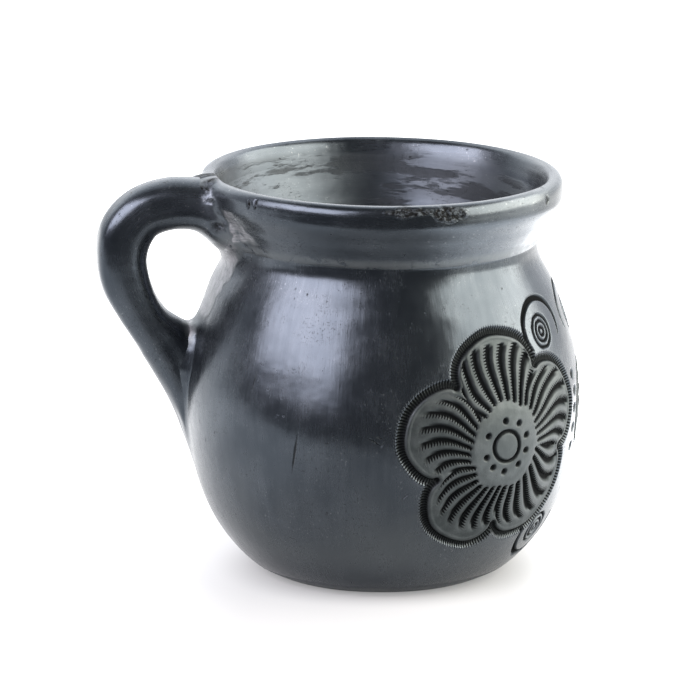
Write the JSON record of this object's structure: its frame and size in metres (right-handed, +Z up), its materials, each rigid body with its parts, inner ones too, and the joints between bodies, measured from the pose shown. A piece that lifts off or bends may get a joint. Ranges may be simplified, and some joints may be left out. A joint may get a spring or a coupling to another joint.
{
  "type": "black clay pot",
  "caption": "Small round-bellied black clay pot with a flared rim, a rolled finger handle, carved flowers and a burnished finish.",
  "frame": {"origin": "middle of the flat foot's underside, on the vessel's axis", "axes": "+Z up along the vessel's axis, -X towards the handle, so +X is the side opposite the handle"},
  "size_m": [0.1222, 0.1, 0.1021],
  "materials": {
    "foot_clay": "matte smoked clay",
    "burnished_clay": "burnished graphite black with matte carving",
    "neck_clay": "burnished graphite black",
    "rim_clay": "burnished graphite black, worn in places",
    "handle_clay": "burnished graphite black",
    "lug_clay": "satin black clay"
  },
  "bodies": {
    "root": {"base_disc": "foot_clay", "belly_wall": "burnished_clay", "neck_collar": "neck_clay", "rim_coil": "rim_clay", "handle_roll": "handle_clay", "handle_upper_lug": "lug_clay", "handle_lower_lug": "lug_clay"}
  },
  "joints": []
}
